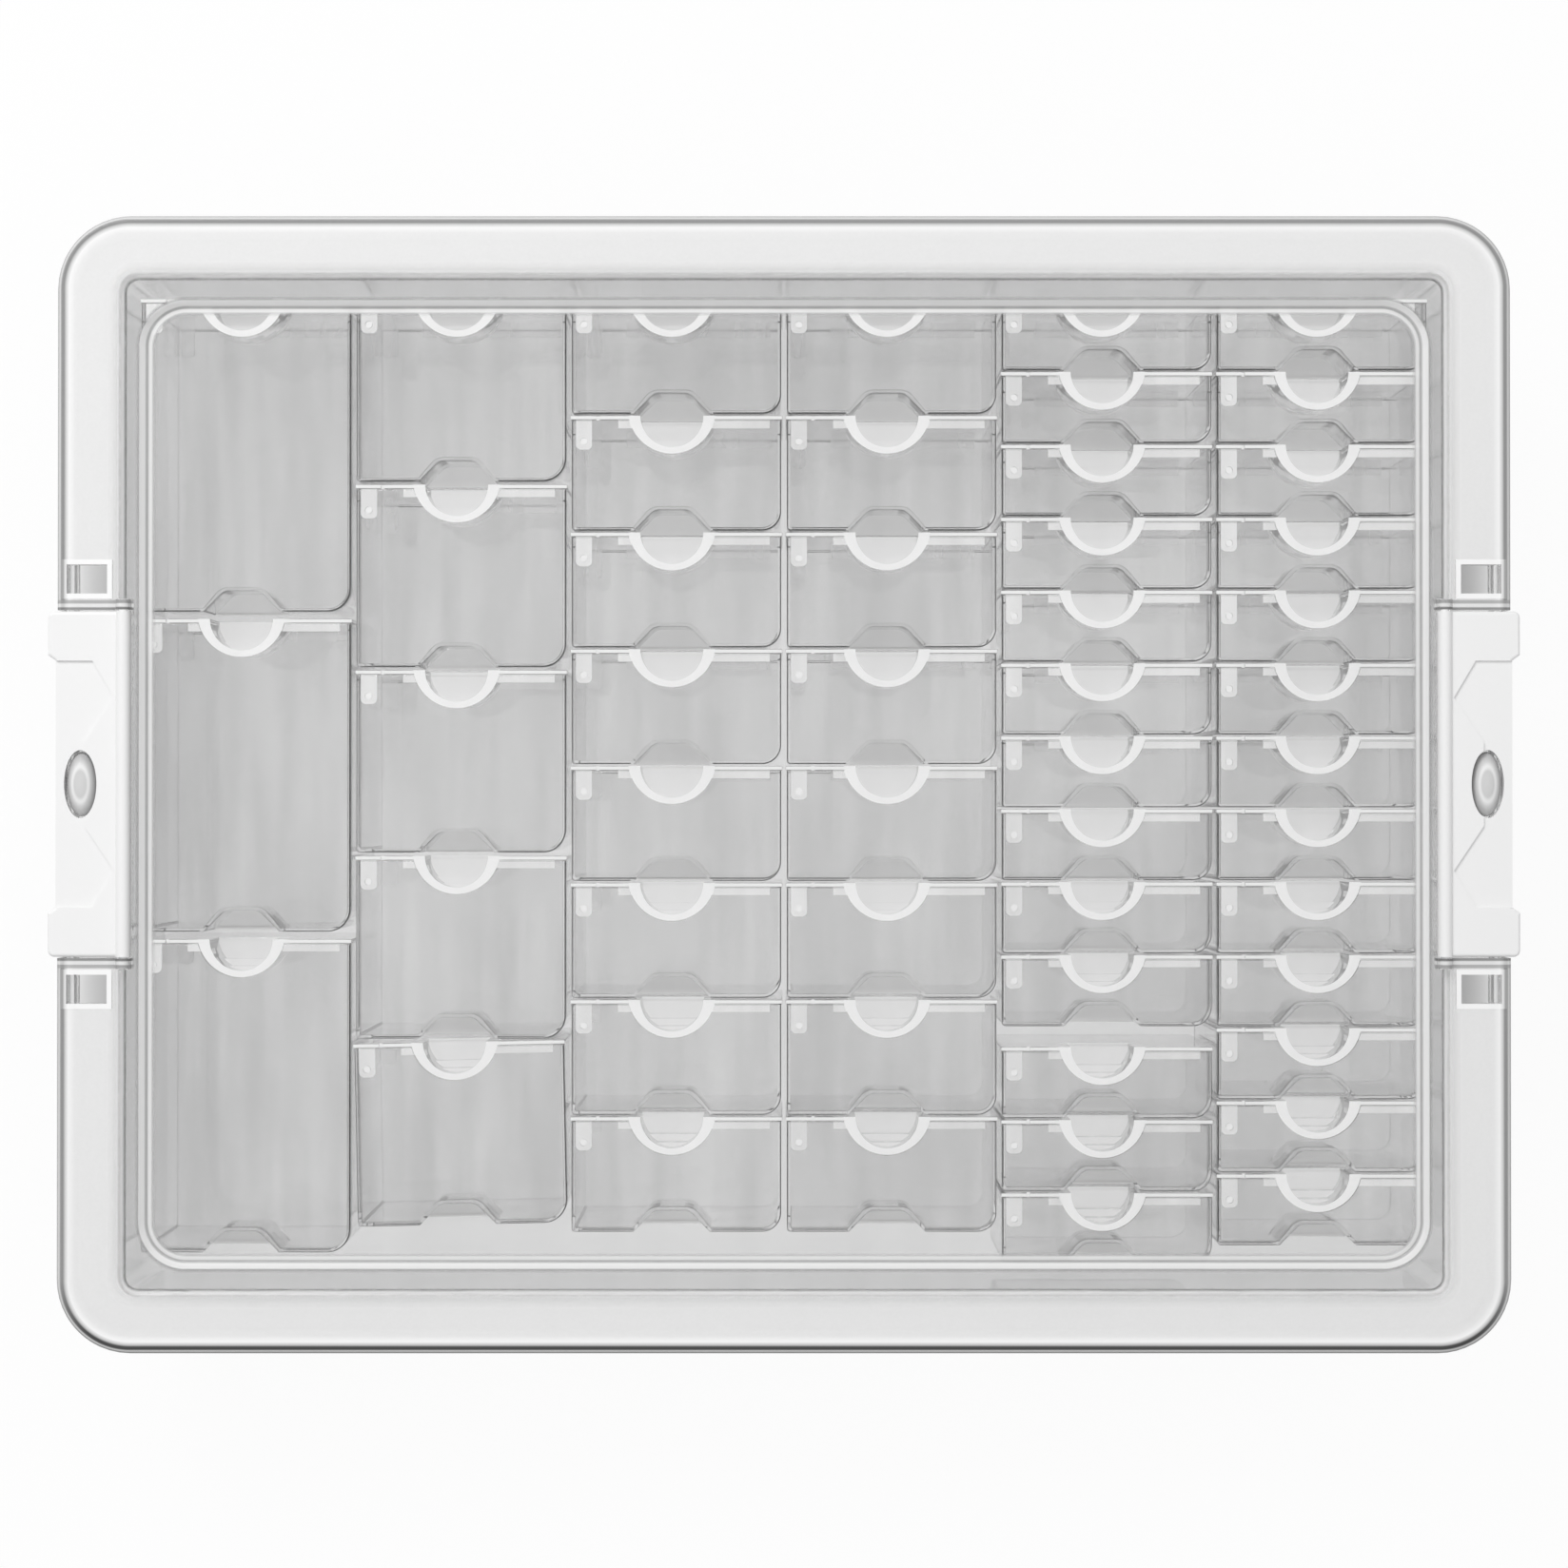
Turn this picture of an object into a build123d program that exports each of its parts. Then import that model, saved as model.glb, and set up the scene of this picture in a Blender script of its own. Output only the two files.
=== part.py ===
from build123d import *
import os

# Small containers that stand on edge in the tray, in millimetres.
# Each one is a thin-walled body, open towards +Y, with a hinged side plate as its lid.
container_height = 50.0
container_width = 50.4
container_wall = 0.8
lid_plate = 1.0
lid_gap = 0.1
body_inset = 0.3
body_width = container_width - 2 * body_inset
square_corner = 0.8
body_edge_round = 0.35
plate_edge_round = 0.25
seat_gap = 0.05

# Container kinds: depth front to back, room left behind each one, rear corner radius and count per column
large_depth = 74.4
large_room = 1.8
large_corner = 5.5
large_count = 3
medium_depth = 43.4
medium_room = 0.8
medium_corner = 5.5
medium_count = 5
small_depth = 27.3
small_room = 0.5
small_corner = 4.5
small_count = 8
tiny_depth = 16.9
tiny_room = 0.45
tiny_corner = 4.5
tiny_count = 13

# Thumb scoop in the lid plate, set off the middle towards the hinge
scoop_offset = -1.1
scoop_radius = 10.4
scoop_centre = 1.4
scoop_height = 16.0
scoop_clearance = 0.15
dish_radius = 7.5
dish_floor = 1.2
dish_step_height = 4.5
dish_step_depths = (0.0, 4.0, 5.6)

# Finger scallop in the rear wall of the body
scallop_base = 18.2
scallop_top = 8.4
scallop_reach = 5.0
scallop_height = 18.0
scallop_round = 3.0

# Lid details: hinge arms with pivot studs, and the lips that plug into the body
arm_width = 3.8
arm_reach = 7.0
arm_thickness = 1.0
arm_side_gap = 0.15
arm_end_radius = 1.2
inner_gap = 0.1
stud_radius = 0.8
stud_clearance = 0.05
stud_length = 0.6
lip_depth = 1.9
lip_thickness = 1.0
lip_start = 11.3
lip_end = 3.0
slot_width = 0.8
slot_height = 1.5
slot_offset = 6.5

# Layout of the columns in the tray
column_gap = 0.8
column_kinds = ("large", "medium", "small", "small", "tiny", "tiny")
shifted_column = 4
side_room = 2.9
back_room = 4.5
front_room = 5.45
shifted_row = 10
shifted_row_room = 4.5
turned_container_angle = 1.2

# Tray: a drafted tub with a broad flat rim and a turned-down edge
floor_thickness = 2.0
tray_wall = 2.0
tray_draft = 0.9
head_room = 1.5
opening_corner = 3.0
opening_edge_round = 1.95
rim_edge_round = 0.8
base_edge_radius = 1.5
rim_side = 16.0
rim_end = 15.0
rim_thickness = 2.0
rim_edge_wall = 1.6
rim_edge_depth = 9.0
ejector_radius = 2.7
ejector_depth = 0.2
ejector_row = 57.7
side_mark_setback = 7.0
corner_mark_setback = 8.0
end_mark_setback = 8.5

# Box lid: a flat rim, a sunken panel and a skirt round the tray's edge
box_corner = 17.5
lid_thickness = 1.8
skirt_wall = 1.6
skirt_depth = 8.3
skirt_gap = 0.3
lid_edge_radius = 1.4
panel_gap = 0.3
panel_thickness = 1.5
panel_side_inset = 3.6
panel_end_inset = 5.2
panel_flank = 1.6
panel_corner = 11.0
panel_edge_round = 0.5

# Windows through the rim beside each latch
window_length = 9.6
window_width = 6.9
window_border = 1.2
window_border_height = 0.8
window_setback = 7.3
window_row = 48.6

# Latches: a flap on two pins, an outer wall with thicker grips and a small hook along its foot
latch_length = 81.9
latch_thickness = 2.2
latch_gap = 0.3
latch_wall = 1.4
latch_drop = 11.3
latch_foot_height = 1.4
grip_length = 11.7
grip_reach = 1.8
grip_slope = 1.3
grip_radius = 1.5
latch_edge_radius = 0.8
latch_wall_room = 0.4
barrel_radius = 1.8
pivot_setback = 15.9
pin_radius = 1.0
pin_clearance = 0.05
ear_thickness = 2.6
ear_radius = 1.9
ear_gap = 0.35
slot_room = 0.4
facet_depth = 0.6
facet_outer = 1.1
facet_neck = 9.9
facet_tip = 20.5
facet_neck_reach = 9.2
facet_tip_reach = 2.1
facet_end_reach = 7.3

# Oval boss on the tray that each latch closes over
boss_setback = 5.7
boss_half_width = 3.5
boss_half_length = 7.7
boss_height = 2.4
boss_gap = 0.4

# Derived sizes
depths = {"large": large_depth, "medium": medium_depth, "small": small_depth, "tiny": tiny_depth}
rooms = {"large": large_room, "medium": medium_room, "small": small_room, "tiny": tiny_room}
corners = {"large": large_corner, "medium": medium_corner, "small": small_corner, "tiny": tiny_corner}
counts = {"large": large_count, "medium": medium_count, "small": small_count, "tiny": tiny_count}
column_pitch = container_width + column_gap
column_lengths = [counts[kind] * (depths[kind] + rooms[kind]) for kind in column_kinds]
longest_column = max(*column_lengths, column_lengths[shifted_column] + shifted_row_room)
opening_length = len(column_kinds) * column_pitch + 2 * side_room
opening_width = longest_column + back_room + front_room
box_length = opening_length + 2 * rim_side
box_width = opening_width + 2 * rim_end
tray_height = floor_thickness + container_height + head_room
lid_bottom = tray_height + seat_gap
lid_top = lid_bottom + lid_thickness
edge_length = box_length - 2 * (skirt_wall + skirt_gap)
edge_width = box_width - 2 * (skirt_wall + skirt_gap)
edge_corner = box_corner - skirt_wall - skirt_gap
panel_underside = floor_thickness + seat_gap + container_height + panel_gap
panel_top = panel_underside + panel_thickness
panel_length = opening_length - 2 * panel_side_inset
panel_width = opening_width - 2 * panel_end_inset
first_face = opening_width / 2 - back_room
pivot_x = box_length / 2 - pivot_setback
pivot_z = tray_height + latch_gap + barrel_radius
latch_bottom = tray_height - latch_drop
latch_top = tray_height + latch_gap + latch_thickness
latch_inner = edge_length / 2 + skirt_gap + latch_wall_room
latch_outer = latch_inner + latch_wall
notch_half = latch_length / 2 + ear_gap
boss_x = box_length / 2 - boss_setback
window_x = box_length / 2 - window_setback
MIN_Z = (Align.CENTER, Align.CENTER, Align.MIN)


def footprint(depth, corner, inset=0.0, front_extra=0.0):
    """Plan outline of a container body, with the rear right corner well rounded."""
    front = front_extra - lid_plate - lid_gap
    back = inset - depth
    shape = Pos(0, (front + back) / 2) * Rectangle(body_width - 2 * inset, front - back)
    rear = shape.vertices().group_by(Axis.Y)[0].sort_by(Axis.X)
    shape = fillet(rear[-1], corner - inset)
    rear_left = shape.vertices().group_by(Axis.Y)[0].sort_by(Axis.X)[0]
    return fillet(rear_left, max(square_corner - inset, square_corner / 2))


def scallop(depth, grow, bottom):
    """The rear scallop as a block: its hollow, or with grow its outer skin."""
    base = scallop_base / 2 + grow
    top = scallop_top / 2 + grow
    outline = Polyline(
        (-base, 0), (-top, scallop_reach + grow), (top, scallop_reach + grow), (base, 0), close=True
    )
    face = make_face(outline)
    crest = face.vertices().group_by(Axis.Y)[-1]
    face = fillet(crest, scallop_round + grow)
    block = extrude(face, container_height - bottom)
    return Pos(scoop_offset, -depth, bottom) * block


def thumb_cylinder(radius, centre, bottom, top):
    """Upright cylinder on the thumb scoop's axis."""
    return Pos(scoop_offset, centre, bottom) * Cylinder(radius, top - bottom, align=MIN_Z)


def stud(radius, length, z):
    """Pivot stud or its hole, on the hinge axis of a container."""
    x = -container_width / 2 + body_inset + container_wall + arm_side_gap + arm_width / 2
    y = arm_width / 2 - arm_reach - lid_plate
    return Pos(x, y, z) * Cylinder(radius, length, align=MIN_Z)


def container_body(depth, corner):
    """Open box with a rounded corner, a rear scallop and a cut-out for the lid's scoop."""
    body = extrude(footprint(depth, corner), container_height)
    ends = body.faces().sort_by(Axis.Z)
    body = fillet(ends[0].edges() + ends[-1].edges(), body_edge_round)
    room = footprint(depth, corner, container_wall, lid_plate)
    body -= Pos(0, 0, container_wall) * extrude(room, container_height - 2 * container_wall)
    bottom = container_height - scallop_height
    body += scallop(depth, container_wall, bottom - container_wall)
    body -= scallop(depth, 0, bottom)
    body -= thumb_cylinder(
        scoop_radius + scoop_clearance, scoop_centre, container_height - container_wall, container_height
    )
    hole = stud_radius + stud_clearance
    body -= stud(hole, container_wall, 0)
    body -= stud(hole, container_wall, container_height - container_wall)
    return body


def container_lid():
    """Side plate with the thumb scoop, two plug-in lips and two hinge arms with studs."""
    plate = Pos(0, -lid_plate / 2, 0) * Box(container_width, lid_plate, container_height, align=MIN_Z)
    lid = fillet(plate.edges(), plate_edge_round)
    scoop_bottom = container_height - scoop_height
    behind = Pos(0, -scoop_radius, 0) * Box(
        container_width, 2 * scoop_radius, container_height, align=MIN_Z
    )
    lid += thumb_cylinder(scoop_radius, scoop_centre, scoop_bottom, container_height) & behind
    for step, reach in enumerate(dish_step_depths):
        low = scoop_bottom + dish_floor + step * dish_step_height
        dish = thumb_cylinder(dish_radius, 0, low, container_height)
        if step + 1 < len(dish_step_depths):
            limit = dish_step_depths[step + 1] + lid_plate
            dish &= Pos(0, dish_radius - limit, 0) * Box(
                container_width, 2 * dish_radius, container_height, align=MIN_Z
            )
        lid -= dish
    lip_length = container_width - lip_start - lip_end
    lip_x = (lip_start - lip_end) / 2
    arm_x = -container_width / 2 + body_inset + container_wall + arm_side_gap + arm_width / 2
    inner = container_wall + inner_gap
    arm = Box(arm_width, arm_reach, arm_thickness, align=MIN_Z)
    arm = fillet(arm.edges().filter_by(Axis.Z).group_by(Axis.Y)[0], arm_end_radius)
    arm = Pos(arm_x, -lid_plate - arm_reach / 2, 0) * arm
    lip = Box(lip_length, lip_depth, lip_thickness, align=MIN_Z)
    lip = Pos(lip_x, -lid_plate - lip_depth / 2, 0) * lip
    lid += Pos(0, 0, inner) * arm
    lid += Pos(0, 0, container_height - inner - arm_thickness) * arm
    lid += Pos(0, 0, inner) * lip
    lid += Pos(0, 0, container_height - inner - lip_thickness) * lip
    lid -= thumb_cylinder(dish_radius, 0, container_height - 2 * inner - lip_thickness, container_height)
    lid += stud(stud_radius, stud_length + inner_gap, inner - stud_length - inner_gap)
    lid += stud(stud_radius, stud_length + inner_gap, container_height - inner)
    slot_x = slot_offset - container_width / 2
    slot = Pos(slot_x, -lid_plate / 2, 0) * Box(slot_width, lid_plate, slot_height, align=MIN_Z)
    lid -= slot
    lid -= Pos(0, 0, container_height - slot_height) * slot
    return lid


def tapered_block(low_size, low_corner, high_size, high_corner, low, high):
    """Upright block between two rounded rectangles."""
    lower = Pos(0, 0, low) * RectangleRounded(*low_size, low_corner)
    upper = Pos(0, 0, high) * RectangleRounded(*high_size, high_corner)
    return loft([lower, upper], ruled=True)


def tub():
    """Drafted tub that holds the containers."""
    top = (opening_length + 2 * tray_wall, opening_width + 2 * tray_wall)
    base = tuple(side - 2 * tray_draft for side in top)
    corner = opening_corner + tray_wall
    outer = tapered_block(base, corner, top, corner, 0, tray_height)
    outer = fillet(outer.faces().sort_by(Axis.Z)[0].edges(), base_edge_radius)
    well_top = (opening_length, opening_width)
    well_base = tuple(side - 2 * tray_draft for side in well_top)
    corner = opening_corner
    well = tapered_block(well_base, corner, well_top, corner, floor_thickness, tray_height)
    return outer, well


def on_mouth(edge):
    """True for an edge of the tub's mouth, and not of the rim's outside."""
    middle = edge.center()
    half_length = opening_length / 2 + tray_wall
    half_width = opening_width / 2 + tray_wall
    return abs(middle.X) < half_length and abs(middle.Y) < half_width


def oval_boss():
    """Domed oval boss on the rim, under the hole of a latch."""
    dome = scale(Sphere(1), (boss_half_width, boss_half_length, boss_height))
    half = Box(2 * boss_half_width, 2 * boss_half_length, boss_height, align=MIN_Z)
    return dome & half


def tray():
    """Tub, rim, turned-down edge, latch bosses, rim windows and ejector marks."""
    outer, well = tub()
    rim = extrude(RectangleRounded(edge_length, edge_width, edge_corner), rim_edge_depth)
    rim = fillet(rim.faces().sort_by(Axis.Z)[-1].edges(), rim_edge_round)
    under = RectangleRounded(
        edge_length - 2 * rim_edge_wall, edge_width - 2 * rim_edge_wall, edge_corner - rim_edge_wall
    )
    rim -= extrude(under, rim_edge_depth - rim_thickness)
    shape = outer + Pos(0, 0, tray_height - rim_edge_depth) * rim - well
    mouth = shape.edges().group_by(Axis.Z)[-1].filter_by(on_mouth)
    shape = fillet(mouth, opening_edge_round)
    for side in (-1, 1):
        shape += Pos(side * boss_x, 0, tray_height) * oval_boss()
        for end in (-1, 1):
            shape -= Pos(side * window_x, end * window_row, tray_height - rim_thickness) * Box(
                window_length, window_width, rim_thickness, align=MIN_Z
            )
    side_x = box_length / 2 - side_mark_setback
    corner_x = box_length / 2 - corner_mark_setback
    end_y = box_width / 2 - end_mark_setback
    marks = [(side * side_x, row) for side in (-1, 1) for row in (-ejector_row, ejector_row)]
    marks += [(side * corner_x, end * end_y) for side in (-1, 0, 1) for end in (-1, 1)]
    mark = Cylinder(ejector_radius, ejector_depth, align=MIN_Z)
    for x, y in marks:
        shape -= Pos(x, y, tray_height - ejector_depth) * mark
    return shape


def ear(side, end):
    """Bearing ear on the box lid for one latch pin."""
    y = end * (notch_half + ear_thickness / 2)
    barrel = Pos(side * pivot_x, y, pivot_z) * Rot(90, 0, 0) * Cylinder(ear_radius, ear_thickness)
    foot = Pos(side * pivot_x, y, lid_bottom) * Box(
        2 * ear_radius, ear_thickness, pivot_z - lid_bottom, align=MIN_Z
    )
    return barrel + foot


def on_panel(edge):
    """True for a level edge round the top of the sunken panel."""
    box = edge.bounding_box()
    inside = box.max.X < opening_length / 2 and box.max.Y < opening_width / 2
    inside = inside and box.min.X > -opening_length / 2 and box.min.Y > -opening_width / 2
    return inside and box.min.Z > panel_top - panel_gap and box.size.Z < panel_gap


def box_lid():
    """Clear lid: flat rim, sunken panel, skirt, latch notches, pin ears and window borders."""
    shell = RectangleRounded(box_length, box_width, box_corner)
    shell = extrude(shell, lid_thickness + skirt_depth)
    shell = fillet(shell.faces().sort_by(Axis.Z)[-1].edges(), lid_edge_radius)
    room = RectangleRounded(
        edge_length + 2 * skirt_gap, edge_width + 2 * skirt_gap, edge_corner + skirt_gap
    )
    shell -= extrude(room, skirt_depth)
    lid = Pos(0, 0, lid_bottom - skirt_depth) * shell
    panel = (panel_length, panel_width)
    sunk = (panel_length - 2 * panel_flank, panel_width - 2 * panel_flank)
    inner_corner = panel_corner - panel_flank
    drop = lid_top - panel_top
    lid += tapered_block(
        sunk, inner_corner, panel, panel_corner, panel_underside, panel_underside + drop
    )
    lid -= tapered_block(sunk, inner_corner, panel, panel_corner, panel_top, lid_top)
    lid = fillet(lid.edges().filter_by(on_panel), panel_edge_round)
    depth = pivot_setback + barrel_radius + slot_room
    notch = Box(depth, 2 * notch_half, skirt_depth + lid_thickness, align=MIN_Z)
    frame = Rectangle(window_length + 2 * window_border, window_width + 2 * window_border)
    frame = extrude(frame, lid_thickness + window_border_height)
    window = Box(window_length, window_width, lid_thickness + window_border_height, align=MIN_Z)
    pin_hole = Rot(90, 0, 0) * Cylinder(pin_radius + pin_clearance, ear_thickness)
    for side in (-1, 1):
        lid -= Pos(side * (box_length / 2 - depth / 2), 0, lid_bottom - skirt_depth) * notch
        for end in (-1, 1):
            place = Pos(side * window_x, end * window_row, lid_bottom)
            lid += ear(side, end)
            lid += place * frame
            lid -= place * window
            lid -= Pos(side * pivot_x, end * (notch_half + ear_thickness / 2), pivot_z) * pin_hole
    return lid


def latch_outline():
    """Plan outline of the right-hand latch, with a grip at each end."""
    half = latch_length / 2
    grip = latch_outer + grip_reach
    neck = half - grip_length
    outline = Polyline(
        (pivot_x, -half),
        (grip, -half),
        (grip, -neck - grip_slope),
        (latch_outer, -neck),
        (latch_outer, neck),
        (grip, neck + grip_slope),
        (grip, half),
        (pivot_x, half),
        close=True,
    )
    face = make_face(outline)
    tips = face.vertices().group_by(Axis.X)[-1].sort_by(Axis.Y)
    return fillet([tips[0], tips[-1]], grip_radius)


def facets():
    """Shallow bow-tie recess in the top of the latch, open to its outer edge."""
    neck = latch_length / 2 - grip_length
    edge = latch_outer + facet_outer
    upper = [
        (edge, neck),
        (pivot_x + facet_end_reach, neck),
        (pivot_x + facet_tip_reach, facet_tip),
        (pivot_x + facet_neck_reach, facet_neck),
    ]
    lower = [(x, -y) for x, y in reversed(upper)]
    face = make_face(Polyline(*upper, *lower, close=True))
    return Pos(0, 0, latch_top - facet_depth) * extrude(face, facet_depth)


def latch():
    """Right-hand latch with its barrel and two pins."""
    half = latch_length / 2
    flap = Pos(0, 0, latch_bottom) * extrude(latch_outline(), latch_top - latch_bottom)
    top = flap.faces().sort_by(Axis.Z)[-1]
    rim = top.edges().filter_by(lambda edge: edge.center().X > latch_outer - latch_edge_radius)
    flap = fillet(rim, latch_edge_radius)
    hollow_height = tray_height + latch_gap - latch_bottom
    hollow_length = latch_inner - pivot_x + barrel_radius
    flap -= Pos(latch_inner - hollow_length / 2, 0, latch_bottom) * Box(
        hollow_length, latch_length, hollow_height, align=MIN_Z
    )
    hook_length = latch_length - 2 * grip_length
    flap += Pos(latch_inner - latch_wall_room / 2, 0, latch_bottom) * Box(
        latch_wall_room, hook_length, latch_foot_height, align=MIN_Z
    )
    flap -= facets()
    hole = Ellipse(boss_half_width + boss_gap, boss_half_length + boss_gap)
    flap -= Pos(boss_x, 0, tray_height) * extrude(hole, latch_top - tray_height)
    barrel = Pos(pivot_x, 0, pivot_z) * Rot(90, 0, 0) * Cylinder(barrel_radius, 2 * half)
    pin_length = 2 * (half + ear_gap + ear_thickness) - ear_gap
    pins = Pos(pivot_x, 0, pivot_z) * Rot(90, 0, 0) * Cylinder(pin_radius, pin_length)
    return flap + barrel + pins


def column_faces(column, kind):
    """Y of the lid face of each container in a column, from the back of the tray to the front."""
    pitch = depths[kind] + rooms[kind]
    faces = []
    for row in range(counts[kind]):
        shifted = column == shifted_column and row >= shifted_row
        faces.append(first_face - row * pitch - (shifted_row_room if shifted else 0.0))
    return faces


def place(shape, column, face_y, depth, angle=0.0):
    """Stand a container piece on the tray floor in its column."""
    x = (column - (len(column_kinds) - 1) / 2) * column_pitch
    middle = Pos(x, face_y - depth / 2, floor_thickness + seat_gap) * Rot(0, 0, angle)
    return middle * Pos(0, depth / 2, 0) * shape


def write(name, shape):
    """Write one piece, or one group of like pieces, to its own file."""
    export_step(shape, os.path.join("parts", name + ".step"))


os.makedirs("parts", exist_ok=True)
write("tray", tray())
write("box_lid", box_lid())
right_latch = latch()
write("latch_right", right_latch)
write("latch_left", mirror(right_latch, Plane.YZ))

plain_lid = container_lid()
column_letters = {2: "a", 3: "b", 4: "a", 5: "b"}
for column, kind in enumerate(column_kinds):
    depth = depths[kind]
    plain_body = container_body(depth, corners[kind])
    letter = column_letters.get(column, "")
    bodies = []
    lids = []
    for row, face_y in enumerate(column_faces(column, kind)):
        turned = kind == "medium" and row == medium_count - 1
        angle = turned_container_angle if turned else 0.0
        bodies.append(place(plain_body, column, face_y, depth, angle))
        lids.append(place(plain_lid, column, face_y, depth, angle))
    if kind == "tiny":
        write(f"tiny_containers_{letter}", Compound(children=bodies))
        write(f"tiny_container_lid_{letter}1", lids[0])
        write(f"tiny_container_lids_{letter}", Compound(children=lids[1:]))
        continue
    for row, (body, lid) in enumerate(zip(bodies, lids), start=1):
        write(f"{kind}_container_{letter}{row}", body)
        write(f"{kind}_container_lid_{letter}{row}", lid)
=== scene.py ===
import bpy
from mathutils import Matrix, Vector


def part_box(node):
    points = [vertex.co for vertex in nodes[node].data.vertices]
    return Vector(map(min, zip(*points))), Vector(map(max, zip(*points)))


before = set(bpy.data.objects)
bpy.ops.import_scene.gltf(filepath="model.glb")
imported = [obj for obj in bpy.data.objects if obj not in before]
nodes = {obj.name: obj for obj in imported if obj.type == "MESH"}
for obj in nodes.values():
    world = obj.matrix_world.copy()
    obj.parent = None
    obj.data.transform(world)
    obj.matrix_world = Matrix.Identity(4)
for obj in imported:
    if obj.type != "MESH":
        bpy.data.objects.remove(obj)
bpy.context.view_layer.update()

# The camera looks straight down on the closed box, as the photograph does.
# Its foot lies a little in front of the middle, which tips it by a fraction of a degree.
MM = 0.001
frame_width = 370.8 * MM
camera_height = 860 * MM
camera_foot = -6 * MM
clip_start = 10 * MM
sensor = 36.0  # in millimetres, as Blender counts it

rim_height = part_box("box_lid")[1].z
target = Vector((0.0, 0.0, rim_height))
camera_data = bpy.data.cameras.new("camera")
camera = bpy.data.objects.new("camera", camera_data)
bpy.context.scene.collection.objects.link(camera)
camera.location = (0.0, camera_foot, rim_height + camera_height)
camera.rotation_euler = (target - camera.location).to_track_quat("-Z", "Y").to_euler()
camera_data.sensor_width = sensor
camera_data.lens = sensor * camera_height / frame_width
camera_data.clip_start = clip_start
bpy.context.scene.camera = camera


# The studio: white paper under the box with a painted shadow there, a soft box behind it on the left and a
# white surround that darkens towards the horizon. Together they light a flat face at a plain level.
# Clear plastic stands in many layers, so light paths are given room to pass them all.
def linear(hex_colour):
    """The linear RGBA of an sRGB hex colour."""
    channels = [int(hex_colour[i : i + 2], 16) / 255 for i in (1, 3, 5)]
    return (*[c / 12.92 if c <= 0.04045 else ((c + 0.055) / 1.055) ** 2.4 for c in channels], 1.0)


def add(tree, kind, settings=None, **inputs):
    """Adds a node with its settings. Each input gets a value, a socket or a node; _0 is the first one."""
    node = tree.nodes.new("ShaderNode" + kind)
    for name, value in (settings or {}).items():
        setattr(node, name, value)
    for name, value in inputs.items():
        key = name.lstrip("_").replace("_", " ")
        socket = node.inputs[int(key) if key.isdigit() else key]
        if isinstance(value, bpy.types.Node):
            value = value.outputs[0]
        if isinstance(value, bpy.types.NodeSocket):
            tree.links.new(value, socket)
        else:
            socket.default_value = value
    return node


def blank(name):
    """A new material without nodes, and its tree."""
    material = bpy.data.materials.new(name)
    material.use_nodes = True
    material.node_tree.nodes.clear()
    return material, material.node_tree


def inset(tree, place, size, corner):
    """How far a place lies inside a rounded rectangle round the middle, as seen from above."""
    flat = add(tree, "VectorMath", {"operation": "MULTIPLY"}, _0=place, _1=(1.0, 1.0, 0.0))
    flat = add(tree, "VectorMath", {"operation": "ABSOLUTE"}, _0=flat)
    middle = (size[0] / 2 - corner, size[1] / 2 - corner, 0.0)
    flat = add(tree, "VectorMath", {"operation": "SUBTRACT"}, _0=flat, _1=middle)
    flat = add(tree, "VectorMath", {"operation": "MAXIMUM"}, _0=flat, _1=(0.0, 0.0, 0.0))
    reach = add(tree, "VectorMath", {"operation": "LENGTH"}, _0=flat).outputs["Value"]
    return add(tree, "Math", {"operation": "SUBTRACT"}, _0=corner, _1=reach)


lid_low, lid_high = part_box("box_lid")
lid_size = (lid_high.x - lid_low.x, lid_high.y - lid_low.y)
lid_corner = 17.5 * MM
floor_size = 3000 * MM
floor_drop = 0.2 * MM
hidden_growth = 1.055  # from above, the lid hides floor a little beyond its own outline
# The painted shadow: from just outside the outline the lid hides, the paper fades to grey and stops glowing
# for the camera.
painted_shadow_start = -1 * MM
painted_shadow_full = 18 * MM
painted_shadow_curve = 3.0
beside_glow = 0.92  # beside the box, as the camera sees the paper
under_glow = 0.95  # under the box, as the paper shows through the plastic
# A painted shade under the rim: where the paper shows through the plastic, it glows less there.
rim_shade_full = 5 * MM
rim_shade_fades = 14 * MM
rim_shade_ends = 17 * MM
rim_dimming = 0.5
paper_white = "#F4F4F4"
# The grey of the painted shadow under the box.
paper_painted_shadow = "#C8C8C8"  # under the box
bpy.ops.object.select_all(action="DESELECT")
bpy.ops.mesh.primitive_plane_add(size=floor_size, location=(0, 0, -floor_drop))
floor = bpy.context.object
floor.name = "floor"
bpy.ops.object.transform_apply(location=True)
material, tree = blank("white_paper_sweep")
path = add(tree, "LightPath").outputs
place = add(tree, "TexCoord").outputs["Object"]
hidden = inset(tree, place, [side * hidden_growth for side in lid_size], lid_corner * hidden_growth)
# The share of the paper left out of the painted shadow.
white = add(tree, "MapRange", Value=hidden, From_Min=painted_shadow_start, From_Max=painted_shadow_full, To_Min=1.0, To_Max=0.0)
white = add(tree, "Math", {"operation": "POWER"}, _0=white, _1=painted_shadow_curve)
beside = add(tree, "Math", {"operation": "MULTIPLY"}, _0=white, _1=beside_glow)
beside = add(tree, "Math", {"operation": "MULTIPLY"}, _0=beside, _1=path["Is Camera Ray"])
under = inset(tree, place, lid_size, lid_corner)
rim_shade = add(tree, "MapRange", Value=under, From_Max=rim_shade_full)
below = add(
    tree,
    "MapRange",
    Value=under,
    From_Min=rim_shade_fades,
    From_Max=rim_shade_ends,
    To_Min=rim_dimming,
    To_Max=0.0,
)
below = add(tree, "Math", {"operation": "MULTIPLY"}, _0=below, _1=rim_shade)
below = add(tree, "Math", {"operation": "SUBTRACT"}, _0=under_glow, _1=below)
below = add(tree, "Math", {"operation": "MULTIPLY"}, _0=below, _1=path["Is Transmission Ray"])
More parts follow.
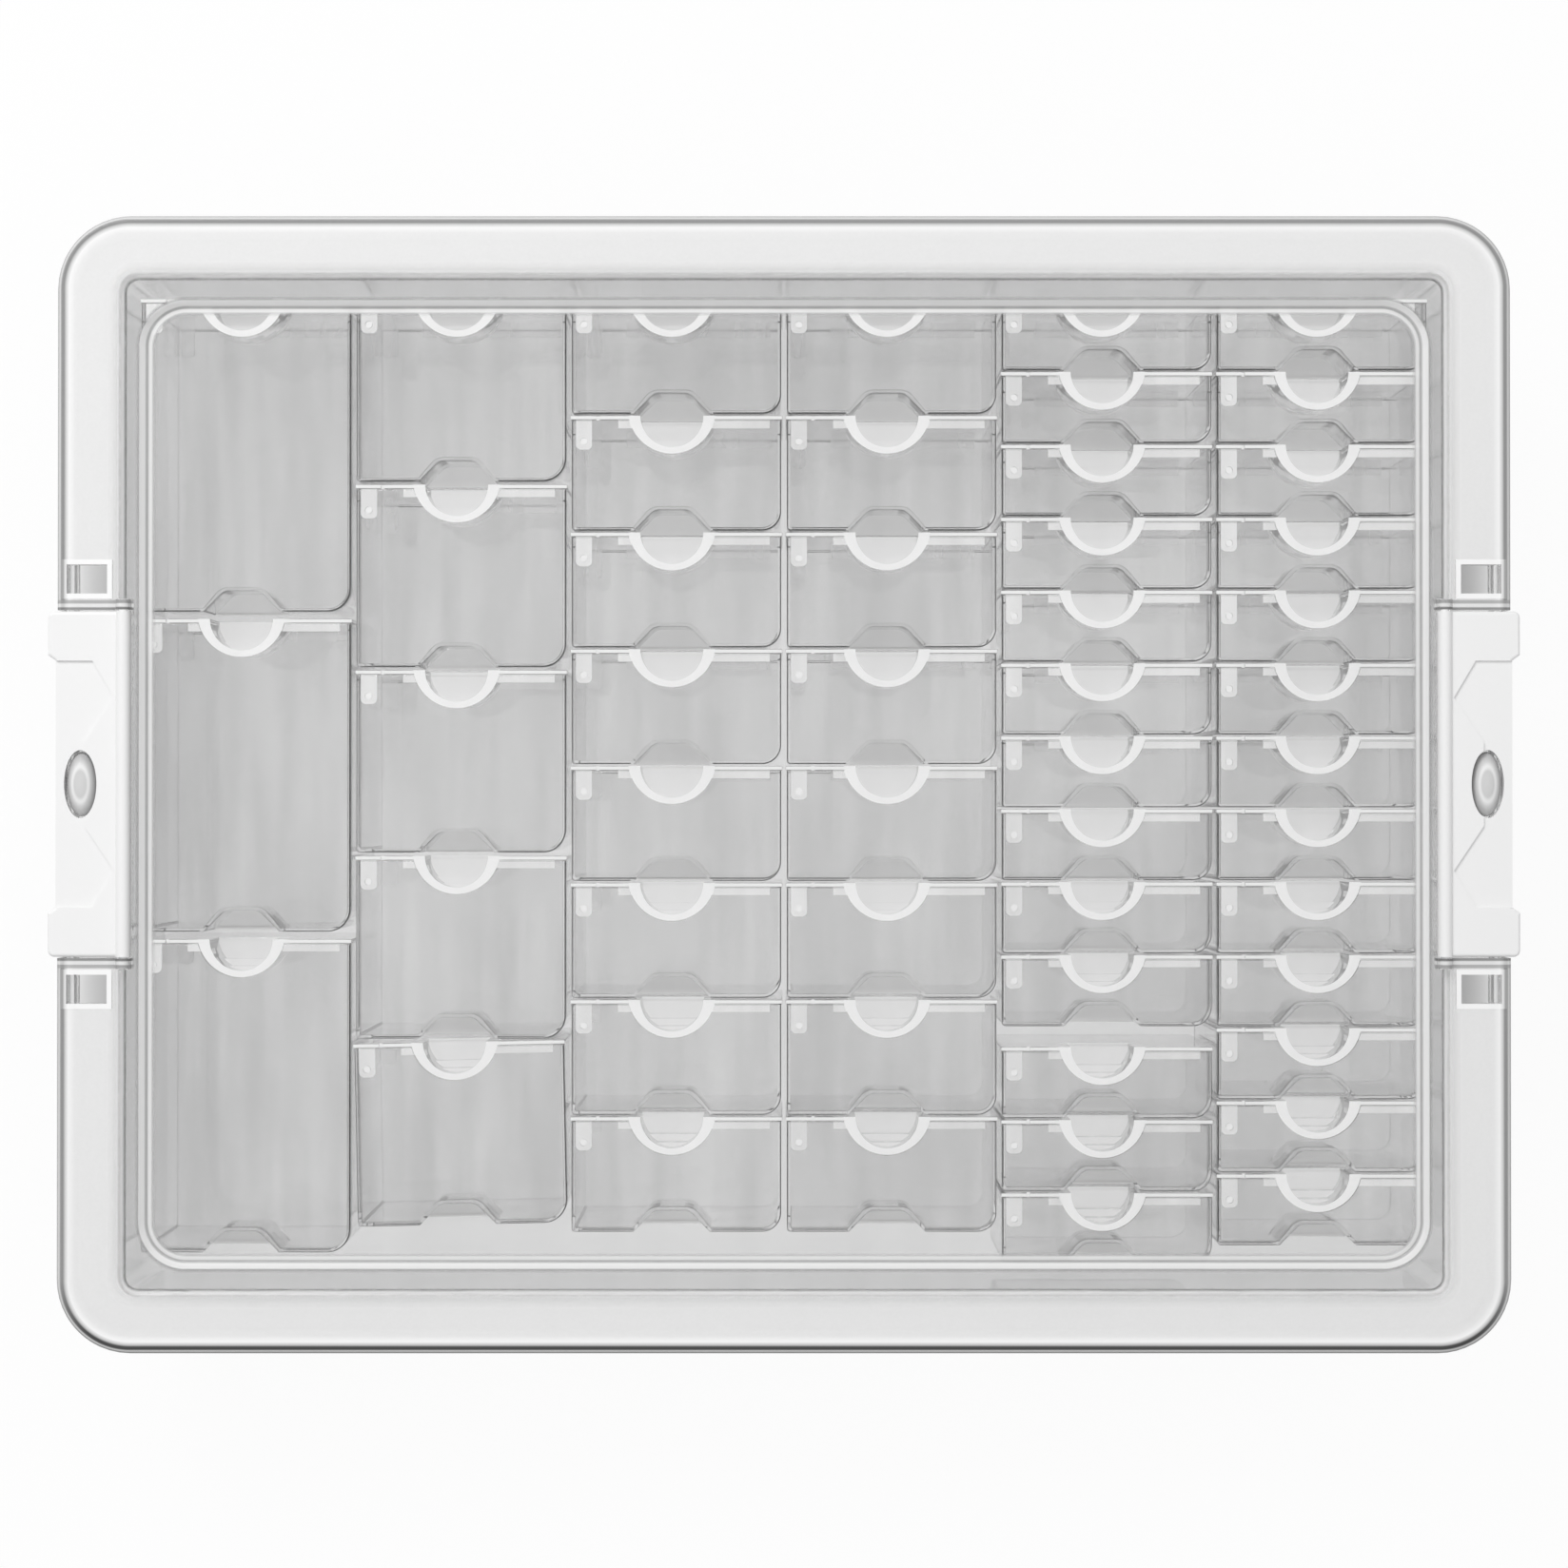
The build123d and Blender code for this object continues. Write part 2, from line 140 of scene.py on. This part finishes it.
seen = add(tree, "Math", {"operation": "MAXIMUM"}, _0=below, _1=beside)
shadow_tone = add(tree, "Mix", {"data_type": "RGBA"}, _0=white, _6=linear(paper_painted_shadow), _7=linear(paper_white))
paper = add(tree, "BsdfDiffuse", Color=shadow_tone.outputs[2])
glow = add(tree, "Emission", Strength=1.0)
add(tree, "OutputMaterial", Surface=add(tree, "MixShader", _0=seen, _1=paper, _2=glow))
floor.data.materials.append(material)

surround = 0.7
surround_from = 0.5  # the height of its full light, with 0 at the horizon and 1 straight up
horizon = 0.2
seen_through = 0.8  # how bright it shows through the plastic
surround_white = "#FFFFFF"
world = bpy.data.worlds.new("surround")
bpy.context.scene.world = world
world.use_nodes = True
tree = world.node_tree
height = add(tree, "SeparateXYZ", _0=add(tree, "TexCoord").outputs["Generated"]).outputs["Z"]
bright = add(tree, "MapRange", Value=height, From_Max=surround_from, To_Min=horizon, To_Max=surround)
path = add(tree, "LightPath").outputs
seen = add(tree, "Math", {"operation": "MULTIPLY"}, _0=path["Is Transmission Ray"], _1=seen_through)
seen = add(tree, "Math", {"operation": "MAXIMUM"}, _0=seen, _1=path["Is Camera Ray"])
bright = add(tree, "Math", {"operation": "MAXIMUM"}, _0=bright, _1=seen)
tree.nodes["Background"].inputs["Color"].default_value = linear(surround_white)
tree.links.new(bright.outputs[0], tree.nodes["Background"].inputs["Strength"])

softbox_size = 600 * MM
softbox_power = 10.0
softbox_place = (-500 * MM, 900 * MM, 1100 * MM)
softbox = bpy.data.lights.new("softbox", "AREA")
softbox.size = softbox_size
softbox.energy = softbox_power
lamp = bpy.data.objects.new("softbox", softbox)
bpy.context.scene.collection.objects.link(lamp)
lamp.location = softbox_place
lamp.rotation_euler = (target - lamp.location).to_track_quat("-Z", "Y").to_euler()

layers_passed = 24
mirror_bounces = 8
unbent_layers = 64
scene = bpy.context.scene
scene.view_settings.view_transform = "Standard"
scene.cycles.max_bounces = layers_passed
scene.cycles.transmission_bounces = layers_passed
scene.cycles.glossy_bounces = mirror_bounces
scene.cycles.transparent_max_bounces = unbent_layers

# The tray: a clear polystyrene tub, injection moulded, with a broad rim and a turned-down edge.
# Polystyrene is hard and glossy. Melt that flowed into the mould leaves faint streaks and ripples
# in it. The round lip of the mouth gets a painted highlight, and the oval bosses under the latches painted
# rings of light and shade.
cloud_width = 70 * MM
streak_width = 6.5 * MM
streak_length = 60 * MM
streaks_low, streaks_high = 0.7, 1.3
gloss_patch = 17 * MM
noise_low, noise_high = 0.3, 0.7  # most of a noise lies between these
roughness_low, roughness_high = 0.01, 0.05
ripple_height = 0.05 * MM
ripple_strength = 0.1
styrene_bending = 1.5


def clear_plastic(name, tint, shade):
    """Clear plastic between two tints. Gives its material, tree and shader, and the place and slope
    of a point on it. The slope is 0 on an upright face and 1 on a level one."""
    material, tree = blank(name)
    coordinates = add(tree, "TexCoord").outputs
    place = coordinates["Object"]
    slope = add(tree, "SeparateXYZ", _0=coordinates["Normal"]).outputs["Z"]
    slope = add(tree, "Math", {"operation": "ABSOLUTE"}, _0=slope).outputs[0]
    cloud = add(tree, "TexNoise", Vector=place, Scale=1 / cloud_width)
    stretch = (1 / streak_width, 1 / streak_length, 1 / streak_length)
    along = add(tree, "VectorMath", {"operation": "MULTIPLY"}, _0=place, _1=stretch)
    streak = add(tree, "TexNoise", Vector=along, Scale=1.0)
    flow = add(tree, "Math", {"operation": "ADD"}, _0=cloud, _1=streak)
    flow = add(tree, "MapRange", Value=flow, From_Min=streaks_low, From_Max=streaks_high)
    colour = add(tree, "Mix", {"data_type": "RGBA"}, _0=flow, _6=linear(tint), _7=linear(shade))
    patch = add(tree, "TexNoise", Vector=place, Scale=1 / gloss_patch)
    gloss = add(
        tree,
        "MapRange",
        Value=patch,
        From_Min=noise_low,
        From_Max=noise_high,
        To_Min=roughness_low,
        To_Max=roughness_high,
    )
    ripple = add(tree, "Bump", Height=streak, Strength=ripple_strength, Distance=ripple_height)
    clear = add(
        tree,
        "BsdfPrincipled",
        Base_Color=colour.outputs[2],
        Roughness=gloss,
        IOR=styrene_bending,
        Transmission_Weight=1.0,
        Normal=ripple,
    )
    return material, tree, clear, place, slope


def painted(tree, under, share, colour):
    """A shader with a share of plain colour over it, here painted highlights and painted shade."""
    over = add(tree, "BsdfDiffuse", Color=linear(colour))
    return add(tree, "MixShader", _0=share, _1=under, _2=over)


def clouded(tree, under, share, colour):
    """A shader with a share of milky plastic over it, which scatters light both ways."""
    back = add(tree, "BsdfDiffuse", Color=linear(colour))
    forth = add(tree, "BsdfTranslucent", Color=linear(colour))
    milk = add(tree, "MixShader", _0=0.5, _1=back, _2=forth)
    return add(tree, "MixShader", _0=share, _1=under, _2=milk)


def near(tree, value, middle, reach, most):
    """A peak of the given height where the value is near the middle."""
    off = add(tree, "Math", {"operation": "SUBTRACT"}, _0=value, _1=middle)
    off = add(tree, "Math", {"operation": "ABSOLUTE"}, _0=off)
    return add(tree, "MapRange", Value=off, From_Max=reach, To_Min=most, To_Max=0.0)


def lines(tree, under, distance, share, stops):
    """A shader with painted lines of light and shade over it, as stops of a distance in millimetres, a grey
    and a share.
    """
    widest = stops[-1][0]
    fraction = add(tree, "Math", {"operation": "DIVIDE"}, _0=distance, _1=widest * MM)
    ramp = add(tree, "ValToRGB", Fac=fraction)
    elements = ramp.color_ramp.elements
    elements.remove(elements[0])
    for reach, grey, strength in stops:
        element = elements.new(reach / widest) if reach < widest else elements[-1]
        element.color = (*linear(grey)[:3], strength)
    share = add(tree, "Math", {"operation": "MULTIPLY"}, _0=ramp.outputs["Alpha"], _1=share)
    over = add(tree, "BsdfDiffuse", Color=ramp.outputs["Color"])
    return add(tree, "MixShader", _0=share, _1=under, _2=over)


def finish_with(material, tree, shader, passing, names):
    """Lets lamp light through unbent, so the layers below stay lit, and gives the nodes the material."""
    through = add(tree, "BsdfTransparent", Color=linear(passing))
    path = add(tree, "LightPath").outputs
    lit = add(tree, "Math", {"operation": "MAXIMUM"}, _0=path["Is Shadow Ray"], _1=path["Is Diffuse Ray"])
    add(tree, "OutputMaterial", Surface=add(tree, "MixShader", _0=lit, _1=shader, _2=through))
    for name in names:
        nodes[name].data.materials.clear()
        nodes[name].data.materials.append(material)


tray_tint, tray_shade = "#FCFCFC", "#F6F6F6"
tray_passing = "#E4E4E4"  # how much lamp light passes it
milk_white = "#F4F4F4"
# A painted highlight: the white put where light gathered in the plastic would come out.
painted_highlight_white = "#FCFCFC"  # where light gathered in the plastic comes out
wall_cloud, floor_cloud = 0.12, 0.15
wall_slope, floor_slope = 0.1, 0.5
# A painted highlight along the round lip of the mouth.
lip_slope = 0.75
lip_reach = 0.3
lip_painted_highlight = 0.9
boss_x = 166.8 * MM
boss_half_width = 3.5 * MM
boss_half_length = 7.7 * MM
boss_foot = 53.6 * MM
boss_fade = 0.2 * MM
# Painted rings of light and shade on the oval bosses, a bright ring inside a darker one.
boss_painted_rings = (
    (0.0, "#D4D4D4", 0.9),
    (1.4, "#D0D0D0", 0.9),
    (1.8, "#EEEEEE", 0.9),
    (2.0, "#EEEEEE", 0.9),
    (2.4, "#D4D4D4", 0.9),
    (2.9, "#BCBCBC", 0.9),
    (3.5, "#B8B8B8", 0.9),
)
material, tree, shader, place, slope = clear_plastic("styrene_tray", tray_tint, tray_shade)
milky = add(
    tree,
    "MapRange",
    Value=slope,
    From_Min=wall_slope,
    From_Max=floor_slope,
    To_Min=wall_cloud,
    To_Max=floor_cloud,
)
shader = clouded(tree, shader, milky, milk_white)
shader = painted(tree, shader, near(tree, slope, lip_slope, lip_reach, lip_painted_highlight), painted_highlight_white)
height = add(tree, "SeparateXYZ", _0=place).outputs["Z"]
boss = add(tree, "MapRange", Value=height, From_Min=boss_foot, From_Max=boss_foot + boss_fade)
away = add(tree, "VectorMath", {"operation": "ABSOLUTE"}, _0=place)
away = add(tree, "VectorMath", {"operation": "SUBTRACT"}, _0=away, _1=(boss_x, 0.0, 0.0))
oval = (1.0, boss_half_width / boss_half_length, 0.0)
away = add(tree, "VectorMath", {"operation": "MULTIPLY"}, _0=away, _1=oval)
away = add(tree, "VectorMath", {"operation": "LENGTH"}, _0=away).outputs["Value"]
shader = lines(tree, shader, away, boss, boss_painted_rings)
finish_with(material, tree, shader, tray_passing, ["tray"])

# Fifty small containers of clear polystyrene, moulded with thin walls and one rounded corner.
# They are a little greyer than the tray. Their walls get a painted shade towards the top, their rounded
# edges painted thin dark lines, and the floor of the finger scallop a painted pale patch of milky white.
container_tint, container_shade = "#FAFAFA", "#EEEEEE"
thin_passing = "#FCFCFC"  # how much lamp light passes a thin wall
painted_shade_grey = "#484848"
# A painted pale patch of milky white on the floor of the finger scallop, standing in for light there.
scallop_floor = 33.8 * MM
scallop_room = 1.0 * MM
scallop_painted_pale = 0.75
scallop_slopes = (0.8, 0.95)
wall_slopes = (0.15, 0.3)
# Painted shade towards the top of the upright walls.
wall_dark_from = 47 * MM
wall_dark_to = 52 * MM
wall_painted_shade = 0.45
# Painted dark lines along the rounded edges.
rounded_edge_painted_lines = ((0.88, 0.1, 0.4), (0.4, 0.28, 0.35))  # a slope, its reach and how dark it is
bodies = [name for name in nodes if "container" in name and "lid" not in name]
material, tree, shader, place, slope = clear_plastic("styrene_container", container_tint, container_shade)
height = add(tree, "SeparateXYZ", _0=place).outputs["Z"]
level = add(tree, "MapRange", Value=slope, From_Min=scallop_slopes[0], From_Max=scallop_slopes[1])
hollow = near(tree, height, scallop_floor, scallop_room, scallop_painted_pale)
hollow = add(tree, "Math", {"operation": "MULTIPLY"}, _0=hollow, _1=level)
shader = clouded(tree, shader, hollow, milk_white)
upright = add(
    tree,
    "MapRange",
    Value=slope,
    From_Min=wall_slopes[0],
    From_Max=wall_slopes[1],
    To_Min=1.0,
    To_Max=0.0,
)
high = add(tree, "MapRange", Value=height, From_Min=wall_dark_from, From_Max=wall_dark_to, To_Max=wall_painted_shade)
# The share of painted shade: the upright walls near the top and the rounded edges.
dark = add(tree, "Math", {"operation": "MULTIPLY"}, _0=upright, _1=high)
for middle, reach, most in rounded_edge_painted_lines:
    edge = near(tree, slope, middle, reach, most)
    dark = add(tree, "Math", {"operation": "MAXIMUM"}, _0=dark, _1=edge)
shader = painted(tree, shader, dark, painted_shade_grey)
finish_with(material, tree, shader, thin_passing, bodies)

# The containers' lids: plates of the same polystyrene, which swing on two studs.
# Their upper edge, the thumb scoop, the lips and the arms get a painted white highlight, for light that
# enters a plate and leaves at its upper edge; the studs get less of it.
plate_tint, plate_shade = "#FCFCFC", "#F6F6F6"
# Shares of painted white highlight on faces that look up.
plate_painted_light = 0.25
upper_edge = 48.5 * MM
upper_painted_light = 0.9
scoop_dish = 35 * MM
scoop_rim = 36 * MM
scoop_painted_light = 0.55
stud_height = 51.75 * MM
stud_room = 0.2 * MM
stud_dimming = 0.5
painted_light_slopes = (0.5, 0.9)
lids = [name for name in nodes if "container" in name and "lid" in name]
material, tree, shader, place, slope = clear_plastic("styrene_container_lid", plate_tint, plate_shade)
height = add(tree, "SeparateXYZ", _0=place).outputs["Z"]
# The share of painted white highlight: strong above the upper edge and on the scoop, less on the studs.
white = add(tree, "Math", {"operation": "GREATER_THAN"}, _0=height, _1=upper_edge)
white = add(tree, "MapRange", Value=white, To_Min=plate_painted_light, To_Max=upper_painted_light)
scoop = add(tree, "MapRange", Value=height, From_Min=scoop_dish, From_Max=scoop_rim, To_Max=scoop_painted_light)
white = add(tree, "Math", {"operation": "MAXIMUM"}, _0=white, _1=scoop)
stud = near(tree, height, stud_height, stud_room, stud_dimming)
white = add(tree, "Math", {"operation": "SUBTRACT"}, _0=white, _1=stud)
level = add(tree, "MapRange", Value=slope, From_Min=painted_light_slopes[0], From_Max=painted_light_slopes[1])
white = add(tree, "Math", {"operation": "MULTIPLY"}, _0=white, _1=level)
shader = painted(tree, shader, white, painted_highlight_white)
finish_with(material, tree, shader, thin_passing, lids)

# The box lid: clear polystyrene with a sunken panel over the containers. Its rim is finely frosted,
# so it looks an even pale grey. Its top edge gets a painted highlight, and the thick outer edge, the step
# round the panel and the edges of the latch notches get painted dark and bright lines, for the light they
# bend.
box_lid_tint, box_lid_shade = "#FCFCFC", "#F8F8F8"
frost_light, frost_dark = "#EEEEEE", "#E8E8E8"
rim_side = 16 * MM
rim_end = 15 * MM
mouth_corner = 3 * MM
frost_full = 4 * MM  # outside the mouth
frost_end = 1 * MM
frost_grit = 0.8 * MM  # coarser than the real grit, so that it shows
frost_share = 0.7
upward_slopes = (0.02, 0.2)
# A painted highlight along the lid's top edge.
border_top = 56.15 * MM
border_room = 0.5 * MM
border_painted_highlight = 0.9
panel_side_inset = 3.6 * MM
panel_end_inset = 5.2 * MM
panel_corner = 11 * MM
line_room = 1 * MM  # the step's lines start this far outside it
notch_half = 41.3 * MM
notch_depth = 18.1 * MM
# The painted lines along the outer edge are stronger at the front than at the back.
front_start = 2 * MM
front_lines = 1.15
back_lines = 0.7
# Painted dark and bright lines along the outer edge, the panel's step and the notches' edges.
outer_edge_painted_lines = (
    (0.0, "#A8A8A8", 0.8),
    (0.4, "#A0A0A0", 0.8),
    (0.7, "#E0E0E0", 0.7),
    (1.1, "#505050", 0.9),
    (1.7, "#505050", 0.95),
    (2.2, "#C8C8C8", 0.7),
    (2.9, "#FFFFFF", 0.8),
    (4.2, "#F6F6F6", 0.3),
    (6.0, "#F0F0F0", 0.0),
)
panel_step_painted_lines = (
    (0.0, "#A0A0A0", 0.0),
    (0.8, "#9C9C9C", 0.5),
    (1.1, "#F4F4F4", 0.8),
    (2.1, "#F4F4F4", 0.8),
    (2.4, "#A8A8A8", 0.6),
    (2.7, "#A8A8A8", 0.6),
    (3.0, "#ECECEC", 0.6),
    (3.6, "#ECECEC", 0.6),
    (3.9, "#C0C0C0", 0.3),
    (4.5, "#C0C0C0", 0.0),
)
notch_edge_painted_lines = (
    (0.0, "#808080", 0.8),
    (0.5, "#808080", 0.8),
    (0.8, "#E8E8E8", 0.6),
    (1.4, "#E8E8E8", 0.6),
    (1.6, "#A0A0A0", 0.7),
    (2.2, "#A0A0A0", 0.7),
    (2.5, "#A0A0A0", 0.0),
)
mouth = (lid_size[0] - 2 * rim_side, lid_size[1] - 2 * rim_end)
panel_side = mouth[0] - 2 * panel_side_inset
panel_end = mouth[1] - 2 * panel_end_inset
step_lines = (panel_side + 2 * line_room, panel_end + 2 * line_room)
material, tree, shader, place, slope = clear_plastic("styrene_box_lid", box_lid_tint, box_lid_shade)
upward = add(tree, "MapRange", Value=slope, From_Min=upward_slopes[0], From_Max=upward_slopes[1])
frosted = add(
    tree,
    "MapRange",
    Value=inset(tree, place, mouth, mouth_corner),
    From_Min=-frost_full,
    From_Max=-frost_end,
    To_Min=frost_share,
    To_Max=0.0,
)
grit = add(tree, "TexNoise", Vector=place, Scale=1 / frost_grit)
grit = add(tree, "Mix", {"data_type": "RGBA"}, _0=grit, _6=linear(frost_dark), _7=linear(frost_light))
frost = add(tree, "BsdfDiffuse", Color=grit.outputs[2])
shader = add(tree, "MixShader", _0=frosted, _1=shader, _2=frost)
height = add(tree, "SeparateXYZ", _0=place).outputs["Z"]
# The painted highlight on the top edge.
border = near(tree, height, border_top, border_room, border_painted_highlight)
border = add(tree, "Math", {"operation": "MULTIPLY"}, _0=border, _1=upward)
shader = painted(tree, shader, border, painted_highlight_white)
step = inset(tree, place, step_lines, panel_corner + line_room)
shader = lines(tree, shader, step, upward, panel_step_painted_lines)
across = add(tree, "SeparateXYZ", _0=place).outputs["Y"]
front = add(
    tree,
    "MapRange",
    Value=across,
    From_Min=lid_low.y + front_start,
    From_Max=lid_low.y + lid_corner,
    To_Min=front_lines,
    To_Max=back_lines,
)
front = add(tree, "Math", {"operation": "MULTIPLY"}, _0=front, _1=upward)
shader = lines(tree, shader, inset(tree, place, lid_size, lid_corner), front, outer_edge_painted_lines)
aside = add(tree, "SeparateXYZ", _0=add(tree, "VectorMath", {"operation": "ABSOLUTE"}, _0=place)).outputs
ends = add(tree, "Math", {"operation": "GREATER_THAN"}, _0=aside["X"], _1=lid_high.x - notch_depth)
ends = add(tree, "Math", {"operation": "MULTIPLY"}, _0=ends, _1=upward)
notch = add(tree, "Math", {"operation": "SUBTRACT"}, _0=aside["Y"], _1=notch_half)
shader = lines(tree, shader, notch, ends, notch_edge_painted_lines)
finish_with(material, tree, shader, thin_passing, ["box_lid"])

# Two latches of white polypropylene, moulded with a fine matt grain that softens their gloss.
# A little light enters the plastic, so thin edges look soft. Each latch turns on two pins
# that are moulded on it, between the ears of the box lid.
latch_white = "#F4F4F4"
grain_size = 1.1 * MM  # coarser than the real grain, so that it shows
grain_height = 0.1 * MM
grain_strength = 0.05
satin_low, satin_high = 0.28, 0.4
light_depth = 2 * MM
light_share = 0.2
material, tree = blank("white_polypropylene")
place = add(tree, "TexCoord").outputs["Object"]
grain = add(tree, "TexNoise", Vector=place, Scale=1 / grain_size)
bump = add(tree, "Bump", Height=grain, Strength=grain_strength, Distance=grain_height)
satin = add(
    tree,
    "MapRange",
    Value=grain,
    From_Min=noise_low,
    From_Max=noise_high,
    To_Min=satin_low,
    To_Max=satin_high,
)
plastic = add(
    tree,
    "BsdfPrincipled",
    Base_Color=linear(latch_white),
    Roughness=satin,
    Subsurface_Weight=light_share,
    Subsurface_Radius=(light_depth, light_depth, light_depth),
    Normal=bump,
)
add(tree, "OutputMaterial", Surface=plastic)
for name in ("latch_left", "latch_right"):
    nodes[name].data.materials.clear()
    nodes[name].data.materials.append(material)
